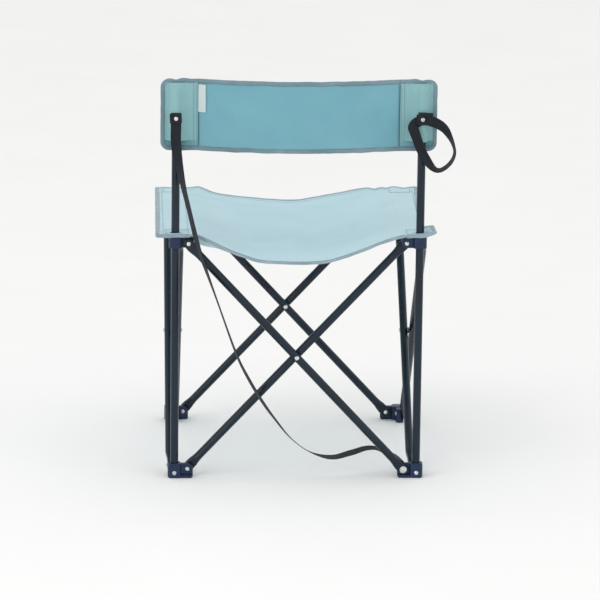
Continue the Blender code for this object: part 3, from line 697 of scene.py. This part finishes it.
def corner_patch(name, sx, sy, body, node, holed):
    """A doubled corner that sits on a hub; the rear ones have a sewn hole for the post."""
    ring = 48
    low = (min(sx * SEAT_SEAM_X, sx * SEAT_HALF_X), min(sy * SEAT_CORNER_Y, sy * SEAT_HALF_Y))
    high = (max(sx * SEAT_SEAM_X, sx * SEAT_HALF_X), max(sy * SEAT_CORNER_Y, sy * SEAT_HALF_Y))
    over, under, faces = [], [], []
    shares = (0.0, 0.06, 0.12, 0.25, 0.42, 0.58, 0.75, 0.88, 1.0)
    for share in shares:
        for k in range(ring):
            a = 2 * math.pi * (k + 0.5) / ring
            c, s = math.cos(a), math.sin(a)
            far = min(
                ((high[0] if c > 0 else low[0]) - sx * P) / c,
                ((high[1] if s > 0 else low[1]) - sy * P) / s,
            )
            r = POST_HOLE_R + (far - POST_HOLE_R) * share
            place, way = seat_surface(sx * P + c * r, sy * P + s * r)
            lip = 0.0011 * math.exp(-(((r - POST_HOLE_R - 0.0012) / 0.0014) ** 2)) if holed else 0.0
            over.append(place + way * (PATCH_T / 2 + lip))
            under.append(place - way * (PATCH_T / 2))
    off = len(over)
    for i in range(len(shares) - 1):
        for k in range(ring):
            n = (k + 1) % ring
            a, b, c, d = i * ring + k, (i + 1) * ring + k, (i + 1) * ring + n, i * ring + n
            faces.append((a, b, c, d))
            faces.append((off + d, off + c, off + b, off + a))
    last = (len(shares) - 1) * ring
    for k in range(ring):
        n = (k + 1) % ring
        faces.append((last + k, off + last + k, off + last + n, last + n))
        if holed:
            faces.append((k, n, off + n, off + k))
    if not holed:
        faces.append(tuple(range(ring)))
        faces.append(tuple(off + k for k in range(ring - 1, -1, -1)))
    patch = piece(name, over + under, faces, SEAT_HEM, body)
    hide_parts(node)
    square = []
    x0, y1 = sx * (SEAT_SEAM_X + 0.0022), sy * (SEAT_HALF_Y - HEM_SEAM)
    for low_inset, high_inset in ((0.00368, 0.0), (0.00128, 0.0030)):
        y0 = sy * (SEAT_CORNER_Y + low_inset)
        x1 = sx * (SEAT_HALF_X - 0.0090) - sx * high_inset
        square.append(on_seat([(x0, y0), (x1, y0), (x1, y1), (x0, y1), (x0, y0)], 0.0011))
    if holed:
        r = POST_HOLE_R + 0.0042
        turns = [2 * math.pi * k / 24 for k in range(25)]
        square.append(on_seat([(sx * P + r * math.cos(a), sy * P + r * math.sin(a)) for a in turns], 0.0011))
    points, faces = stitches(square, lambda p: Vector((0, 0, 1)))
    seam = piece(name + "_stitches", points, faces, STITCH, body)
    spots = [(sx * x, sy * SEAT_HALF_Y) for x in numbers(SEAT_SEAM_X, SEAT_HALF_X - EDGE_ROUND, 0.0036)]
    ways = [(0, -sy)] * len(spots)
    for turn in (20, 45, 70):
        c, s = math.cos(math.radians(turn)), math.sin(math.radians(turn))
        x, y = SEAT_HALF_X - EDGE_ROUND + EDGE_ROUND * s, SEAT_HALF_Y - EDGE_ROUND + EDGE_ROUND * c
        spots.append((sx * x, sy * y))
        ways.append((-sx * s, -sy * c))
    for y in numbers(SEAT_HALF_Y - EDGE_ROUND, SEAT_CORNER_Y, 0.005):
        spots.append((sx * SEAT_HALF_X, sy * y))
        ways.append((-sx, 0))
    down = 0.0034 if holed else 0.0017
    edge = seat_tape(name + "_binding", spots, ways, 0.0066, 0.0017, down, body)


for end, sy in (("rear", -1), ("front", 1)):
    for label, sx in (("left", -1), ("right", 1)):
        name, node = f"seat_corner_patch_{end}_{label}", f"seat_corner_{end}_{label}"
        corner_patch(name, sx, sy, f"{end}_{label}_hub", node, end == "rear")


# ---------------------------------------------------------------- back band
def band_surface(x, z):
    """Middle surface of the band's cloth: point and the way out to its back."""

    def spot(a, b):
        share = max(0.0, 1 - (a / BAND_SEAM_X) ** 2)
        near = min(1.0, share * 3)
        wave = noise.noise(Vector((a * 11.0, 2.0, b * 4.0))) * 0.0016
        wave += noise.noise(Vector((a * 34.0, 7.0, b * 22.0))) * 0.0005
        wave += 0.0012 * crease(abs(a), b, 0.158, BAND_TOP - 0.010, 236, 0.006, 0.045)
        wave += 0.0010 * crease(abs(a), b, 0.158, BAND_BOTTOM + 0.012, 128, 0.006, 0.040)
        wave -= 0.0009 * crease(abs(a), b, 0.159, BAND_TOP - 0.030, 200, 0.008, 0.050)
        belly = 0.0012 * math.cos((b - BAND_MIDDLE) / 0.0565 * math.pi / 2)
        return Vector((a, CLOTH_Y - BAND_BULGE * share + (wave - belly) * near, b - BAND_SAG * share))

    d = 0.0006
    along, across = spot(x + d, z) - spot(x - d, z), spot(x, z + d) - spot(x, z - d)
    return spot(x, z), along.cross(across).normalized()


def label_surface(x, z):
    """The side label, sewn in at its outer edge and lifting a little towards its free one."""
    place, out = band_surface(x, z)
    return place + out * (0.0010 + 0.0016 * ease(x, -0.1575, LABEL_FREE_X)), out


def edge_wave(x, top):
    """The binding's own unevenness, with a pucker over each post."""
    wave = 0.0006 * noise.noise(Vector((x * 45.0, 1.0 if top else 6.0, 0.0)))
    if top:
        beside = abs(x) - P
        wave += 0.0010 * math.exp(-(((beside + 0.013) / 0.006) ** 2))
        wave -= 0.0017 * math.exp(-((beside / 0.0045) ** 2))
    return wave


def pocket_path():
    """The sleeve patch in plan: (distance inward from the post's axis, distance forward of it)."""
    flat_v = CLOTH_Y - 0.0008 - 0.0006 + P
    plan = [(-0.0200, flat_v), (-0.0150, flat_v - 0.0002), (-0.0115, flat_v - 0.0012)]
    for turn in range(200, 341, 10):
        a = math.radians(turn)
        plan.append(((POCKET_R + 0.0001) * math.cos(a), (POCKET_R + 0.0001) * math.sin(a)))
    plan += [(0.0105, -0.0002), (0.0150, 0.0030), (0.0200, flat_v - 0.0010), (0.0260, flat_v - 0.0004)]
    return plan + [(0.0346, flat_v)], flat_v


for label, sx in (("left", -1), ("right", 1)):
    holder = "rear_left_post" if sx < 0 else "rear_right_post"
    half = f"band_{label}_half"
    zs = numbers(BAND_BOTTOM + CLOTH_INSET, BAND_TOP - CLOTH_INSET, 0.004)
    points, faces = sheet_mesh(numbers(0.0, sx * BAND_SEAM_X, 0.004), zs, band_surface, CLOTH_T)
    panel = piece(f"band_cloth_{label}", points, faces, BAND, half, angle=60)
    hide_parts(f"band_panel_{label}")
    extras, seams = [], []
    for edge, z, way in (("top", BAND_TOP, -1), ("bottom", BAND_BOTTOM, 1)):
        along = [(x, z + edge_wave(x, way < 0)) for x in numbers(0.0, sx * BAND_SEAM_X, 0.003)]
        path = [band_surface(x, at)[0] for x, at in along]
        outs = [band_surface(x, at)[1] for x, at in along]
        frames = [(Vector((0, 0, way)), out) for out in outs]
        name = f"binding_{edge}_{label}"
        extras.append(tape_piece(name, path, frames, BINDING_W, 0.0016, 0.0014, BINDING, half))
        seams.append([p + Vector((0, 0, way * 0.0054)) + o * 0.0013 for p, o in zip(path, outs)])
    points, faces = stitches(seams, lambda p: band_surface(p.x, p.z)[1])
    extras.append(piece(f"binding_stitches_{label}", points, faces, BAND_STITCH, half))
    seam_x = sx * (BAND_SEAM_X - 0.0028)
    line = [band_surface(seam_x, z)[0] + Vector((0, -0.0007, 0)) for z in numbers(0.541, 0.638, 0.01)]
    points, faces = stitches([line], lambda p: Vector((0, -1, 0)))
    extras.append(piece(f"band_seam_stitches_{label}", points, faces, BAND_STITCH, half))
    if sx < 0:
        xs, zs = numbers(LABEL_SEWN_X, LABEL_FREE_X, 0.00116), numbers(0.5940, 0.6380, 0.004)
        points, faces = sheet_mesh(xs, zs, label_surface, 0.0006)
        extras.append(piece("blank_label", points, faces, LABEL, half))
    for made in [panel] + extras:
        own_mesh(made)

    # the band's end, with its rounded outer corners, inside the binding
    outer = BAND_HALF_X - CLOTH_INSET
    r = BAND_CORNER - CLOTH_INSET

    def end_surface(x, share):
        past = max(0.0, abs(x) - (outer - r))
        cut = r - math.sqrt(max(0.0, r * r - past * past))
        high = BAND_TOP - BAND_BOTTOM - 2 * CLOTH_INSET - 2 * cut
        z = BAND_BOTTOM + CLOTH_INSET + cut + high * share
        return Vector((x, CLOTH_Y, z)), Vector((0, -1, 0))

    xs = numbers(sx * BAND_SEAM_X, sx * (outer - r), 0.004) + [
        sx * (outer - r + r * math.sin(math.radians(a))) for a in (12, 25, 38, 50, 62, 74, 84)
    ]
    points, faces = sheet_mesh(xs, numbers(0.0, 1.0, 0.05), end_surface, CLOTH_T)
    end_piece = piece(f"band_end_{label}", points, faces, BAND, holder)
    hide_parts(f"band_sleeve_{label}")

    r = BAND_CORNER
    outline = []
    for x in numbers(BAND_SEAM_X, BAND_HALF_X - r, 0.004):
        outline.append((x, BAND_BOTTOM + edge_wave(sx * x, False), 0.0, 1.0))
    for turn in range(-80, 1, 10):
        c, s = math.cos(math.radians(turn)), math.sin(math.radians(turn))
        outline.append((BAND_HALF_X - r + r * c, BAND_BOTTOM + r + r * s, -c, -s))
    for z in numbers(BAND_BOTTOM + r + 0.004, BAND_TOP - r - 0.004, 0.004):
        outline.append((BAND_HALF_X + edge_wave(z, False), z, -1.0, 0.0))
    for turn in range(0, 91, 10):
        c, s = math.cos(math.radians(turn)), math.sin(math.radians(turn))
        outline.append((BAND_HALF_X - r + r * c, BAND_TOP - r + r * s, -c, -s))
    for x in numbers(BAND_HALF_X - r - 0.002, BAND_SEAM_X, 0.0025):
        outline.append((x, BAND_TOP + edge_wave(sx * x, True), 0.0, -1.0))
    path = [Vector((sx * x, CLOTH_Y, z)) for x, z, _, _ in outline]
    frames = [(Vector((sx * a, 0, b)), Vector((0, -1, 0))) for _, _, a, b in outline]
    name = f"binding_end_{label}"
    edge = tape_piece(name, path, frames, BINDING_W, 0.0028, 0.0014, BINDING, holder)
    seam = [[s + w * 0.0054 + o * 0.0026 for s, (w, o) in zip(path, frames)]]
    points, faces = stitches(seam, lambda p: Vector((0, -1, 0)))
    seam = piece(f"binding_end_stitches_{label}", points, faces, BAND_STITCH, holder)

    # the sleeve patch, which lies round the back of the post and flattens above it
    plan, flat_v = pocket_path()
    lengths = [0.0]
    for a, b in zip(plan, plan[1:]):
        lengths.append(lengths[-1] + math.dist(a, b))
    total = lengths[-1]

    def pocket_spot(s, z):
        k = next((k for k in range(1, len(plan)) if s <= lengths[k]), len(plan) - 1)
        t = min(max((s - lengths[k - 1]) / (lengths[k] - lengths[k - 1]), 0.0), 1.0)
        u = plan[k - 1][0] + (plan[k][0] - plan[k - 1][0]) * t
        v = plan[k - 1][1] + (plan[k][1] - plan[k - 1][1]) * t
        full = 1 - 0.75 * ease(z, 0.6275, 0.6400)
        v = flat_v + (v - flat_v) * full
        fold = 0.0007 * noise.noise(Vector((s * 70, z * 16, sx))) * min(1.0, s * 120, (total - s) * 120)
        fold += 0.0011 * (1 - full) * math.sin(s * 420)
        return Vector((-sx * u + sx * P, v - P - abs(fold), z))

    def pocket_surface(s, z):
        d = 0.0008
        along = pocket_spot(min(s + d, total), z) - pocket_spot(max(s - d, 0.0), z)
        across = pocket_spot(s, z + d) - pocket_spot(s, z - d)
        return pocket_spot(s, z), (across.cross(along) * sx).normalized()

    points, faces = sheet_mesh(
        numbers(0.0, total, 0.0017), numbers(POCKET_BOTTOM, BAND_TOP - 0.0052, 0.0035), pocket_surface, 0.0010
    )
    patch = piece(f"band_pocket_{label}", points, faces, POCKET, holder, angle=60)
    lines = []
    heights = numbers(POCKET_BOTTOM, BAND_TOP - 0.008, 0.01)
    for s in (total - 0.0018, total - 0.0064):
        lines.append([pocket_spot(s, z) + Vector((0, -0.0006, 0)) for z in heights])
    points, faces = stitches(lines, lambda p: Vector((0, -1, 0)))
    seam = piece(f"band_pocket_stitches_{label}", points, faces, BAND_STITCH, holder)


# ---------------------------------------------------------------- webbing straps
def smooth(points, cuts):
    """A smooth line through the points, with cuts steps between each pair."""
    spots = [points[0]] + points + [points[-1]]
    found = []
    for a, b, c, d in zip(spots, spots[1:], spots[2:], spots[3:]):
        for k in range(cuts):
            t = k / cuts
            bend, twist = 2 * a - 5 * b + 4 * c - d, 3 * b - a - 3 * c + d
            found.append(0.5 * (2 * b + (c - a) * t + bend * t**2 + twist * t**3))
    return found + [points[-1]]


def strap(name, stations, cuts, body, node):
    """Flat webbing through stations of x, y, z and a turn in degrees of its width about its own run."""
    rows = smooth([Vector((x, y, z, turn)) for x, y, z, turn in stations], cuts)
    shape = []
    half_w, half_t = WEB_W / 2, WEB_T / 2
    for a in (-1.0, -0.94, -0.5, 0.0, 0.5, 0.94):
        shape.append((a * half_w, (half_t if abs(a) < 0.99 else 0.0)))
    for a in (1.0, 0.94, 0.5, 0.0, -0.5, -0.94):
        shape.append((a * half_w, (-half_t if abs(a) < 0.99 else 0.0)))
    points, faces, uv = [], [], []
    run_length = 0.0
    for k, row in enumerate(rows):
        before, after = rows[max(k - 1, 0)], rows[min(k + 1, len(rows) - 1)]
        run = (after - before).to_3d().normalized()
        if k:
            run_length += (row.to_3d() - rows[k - 1].to_3d()).length
        turn = math.radians(row.w)
        flat = Vector((run.z, 0, -run.x)).normalized()
        wide = flat * math.cos(turn) + Vector((0, 1, 0)) * math.sin(turn)
        wide = (wide - run * wide.dot(run)).normalized()
        thin = run.cross(wide)
        for a, b in shape:
            points.append(row.to_3d() + wide * a + thin * b)
            uv.append((run_length, a))
    n = len(shape)
    for k in range(len(rows) - 1):
        for j in range(n):
            m = (j + 1) % n
            faces.append((k * n + j, k * n + m, (k + 1) * n + m, (k + 1) * n + j))
    faces.append(tuple(range(n)))
    faces.append(tuple((len(rows) - 1) * n + j for j in range(n - 1, -1, -1)))
    made = piece(name, points, faces, WEB, body, uv=uv, angle=50)
    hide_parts(node)
    return made


STRAP_STACK = POCKET_R + 0.0006 + GAP + WEB_T
tab_y = -P - STRAP_STACK + WEB_T / 2
ear_back = -P + EAR_T / 2 + GAP + WEB_T / 2
CARRY_STRAP = [
    (-0.1950, tab_y, 0.5945, 0),
    (-0.1950, tab_y, 0.5853, 0),
    (-0.1950, tab_y - 0.0004, 0.5750, 0),
    (-0.1952, -P - 0.0160, 0.5500, 8),
    (-0.1912, -P - 0.0210, 0.5193, 34),
    (-0.1832, -P - 0.0265, 0.4792, 60),
    (-0.1752, -P - 0.0285, 0.4471, 65),
    (-0.1648, -P - 0.0295, 0.4041, 64),
    (-0.1582, -P - 0.0295, 0.3789, 65),
    (-0.1505, -P - 0.0295, 0.3564, 71),
    (-0.1282, -P - 0.0290, 0.2948, 82),
    (-0.0989, -P - 0.0290, 0.2132, 78),
    (-0.0794, -P - 0.0290, 0.1723, 72),
    (-0.0550, -P - 0.0290, 0.1312, 71),
    (-0.0338, -P - 0.0290, 0.1015, 75),
    (-0.0094, -P - 0.0285, 0.0717, 80),
    (0.0210, -P - 0.0275, 0.0490, 77),
    (0.0560, -P - 0.0230, 0.0385, 52),
    (0.0885, -P - 0.0110, 0.0425, 44),
    (0.1160, -P + 0.0020, 0.0470, 50),
    (0.1370, -P + 0.0078, 0.0436, 58),
    (0.1540, -P + 0.0084, 0.0335, 36),
    (0.1630, -P + 0.0066, 0.0252, 8),
    (0.1690, ear_back + 0.0004, 0.0194, 0),
    (0.1740, ear_back, 0.0141, 0),
    (0.1770, ear_back, 0.0110, 0),
]
LOOP_STRAP = [
    (0.1850, tab_y - GAP - WEB_T, 0.5853, 0),
    (0.1950, tab_y - GAP - WEB_T, 0.5853, 0),
    (0.2060, tab_y - 0.0018, 0.5837, 0),
    (0.2195, -P - 0.0140, 0.5788, 12),
    (0.2295, -P - 0.0165, 0.5716, 34),
    (0.2371, -P - 0.0185, 0.5602, 58),
    (0.2426, -P - 0.0195, 0.5483, 74),
    (0.2455, -P - 0.0205, 0.5375, 81),
    (0.2446, -P - 0.0205, 0.5285, 82),
    (0.2398, -P - 0.0210, 0.5191, 80),
    (0.2310, -P - 0.0220, 0.5105, 79),
    (0.2218, -P - 0.0230, 0.5066, 76),
    (0.2128, -P - 0.0240, 0.5095, 60),
    (0.2029, -P - 0.0245, 0.5205, 36),
    (0.1920, -P - 0.0240, 0.5390, 26),
    (0.1852, -P - 0.0215, 0.5570, 20),
    (0.1815, -P - 0.0170, 0.5670, 10),
    (0.1797, -P - 0.0125, 0.5735, 0),
    (0.1840, tab_y, 0.5795, 0),
    (0.1950, tab_y, 0.5853, 0),
    (0.2040, tab_y, 0.5900, 0),
]


def folded_end(name, centre, half_w, half_h, tilt, body):
    """The strap's end folded over itself under a screw head, box-stitched, with a hole round the head."""
    ring = 40
    turn = math.radians(tilt)

    def tilted(x, y, z):
        flat = Vector((x * math.cos(turn) - z * math.sin(turn), y, x * math.sin(turn) + z * math.cos(turn)))
        return Vector(centre) + flat

    over, under, faces = [], [], []
    shares = (0.0, 0.15, 0.5, 0.85, 0.96, 1.0)
    for share in shares:
        for k in range(ring):
            a = 2 * math.pi * (k + 0.5) / ring
            c, s = math.cos(a), math.sin(a)
            far = min(half_w / abs(c), half_h / abs(s))
            r = HEAD_HOLE_R + (far - HEAD_HOLE_R) * share
            x, z = c * r, s * r
            soft = 0.0003 * noise.noise(Vector((x * 180, z * 180, centre[0])))
            t = 0.0007 if share < 0.99 else 0.0002
            spot = tilted(x, 0, z)
            over.append(spot + Vector((0, -t - abs(soft), 0)))
            under.append(spot + Vector((0, 0.0005, 0)))
    off = len(over)
    for i in range(len(shares) - 1):
        for k in range(ring):
            n = (k + 1) % ring
            a, b, c, d = i * ring + k, (i + 1) * ring + k, (i + 1) * ring + n, i * ring + n
            faces.append((a, b, c, d))
            faces.append((off + d, off + c, off + b, off + a))
    last = (len(shares) - 1) * ring
    for k in range(ring):
        n = (k + 1) % ring
        faces.append((last + k, off + last + k, off + last + n, last + n))
        faces.append((k, n, off + n, off + k))
    uv = [(p.x, p.z) for p in over + under]
    made = piece(name, over + under, faces, WEB, body, uv=uv, angle=50)
    box = []
    for dx, dz in ((-1, -1), (1, -1), (1, 1), (-1, 1), (-1, -1)):
        box.append(tilted(dx * (half_w - 0.0017), -0.0010, dz * (half_h - 0.0017)))
    points, faces = stitches([box], lambda p: Vector((0, -1, 0)), length=0.0018, gap=0.0009)
    seam = piece(name + "_stitches", points, faces, STITCH_DARK, body)
    return [made, seam]


over_strap = tab_y - WEB_T / 2 - 0.0006
left_place = (-P - 0.0005, over_strap, 0.5858)
right_place = (P + 0.0040, over_strap - GAP - WEB_T, 0.5868)
left_tab = folded_end("carry_webbing_folded_end", left_place, 0.0095, 0.0078, 3, "rear_left_post")
right_tab = folded_end("loop_webbing_folded_end", right_place, 0.0117, 0.0100, -2, "rear_right_post")
carry = strap("carry_webbing", CARRY_STRAP, 6, "rear_left_post", "carry_strap")
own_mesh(carry)
strap("loop_webbing", LOOP_STRAP, 6, "rear_right_post", "loop_strap")

# ---------------------------------------------------------------- floor and light
floor_mesh = bpy.data.meshes.new("studio_floor")
shape = bmesh.new()
bmesh.ops.create_grid(shape, x_segments=2, y_segments=2, size=25.0)
shape.to_mesh(floor_mesh)
shape.free()
floor = bpy.data.objects.new("studio_floor", floor_mesh)
bpy.context.scene.collection.objects.link(floor)
ground = Paint("studio_paper")
grain = ground.noise(3.0, 2.0)
ground.colour(ground.mix(ground.ramp(grain, 0.3, 0.7), linear((250, 250, 249)), linear((248, 248, 247))))
ground.set(Roughness=0.9, Specular_IOR_Level=0.1)
floor_mesh.materials.append(ground.material)

world = bpy.data.worlds.new("studio")
bpy.context.scene.world = world
world.use_nodes = True
world.node_tree.nodes["Background"].inputs["Color"].default_value = (1.0, 1.0, 1.0, 1.0)
world.node_tree.nodes["Background"].inputs["Strength"].default_value = 0.92


def softbox(name, place, target, size, power):
    """A rectangular lamp at a place, turned to a target."""
    light = bpy.data.lights.new(name, "AREA")
    light.shape = "RECTANGLE"
    light.size, light.size_y = size
    light.energy = power
    made = bpy.data.objects.new(name, light)
    made.location = place
    made.rotation_euler = (Vector(target) - Vector(place)).to_track_quat("-Z", "Y").to_euler()
    bpy.context.scene.collection.objects.link(made)


softbox("key", (-2.6, -2.4, 4.2), (0, 0, 0.3), (2.4, 2.4), 29)
softbox("fill", (3.0, -2.6, 2.2), (0, 0, 0.35), (2.6, 2.6), 5)
softbox("strip_left", (-2.6, -3.4, 1.3), (0, 0, 0.3), (0.3, 2.4), 13)
softbox("strip_right", (3.4, -2.2, 1.4), (0, 0, 0.3), (0.25, 2.4), 6)
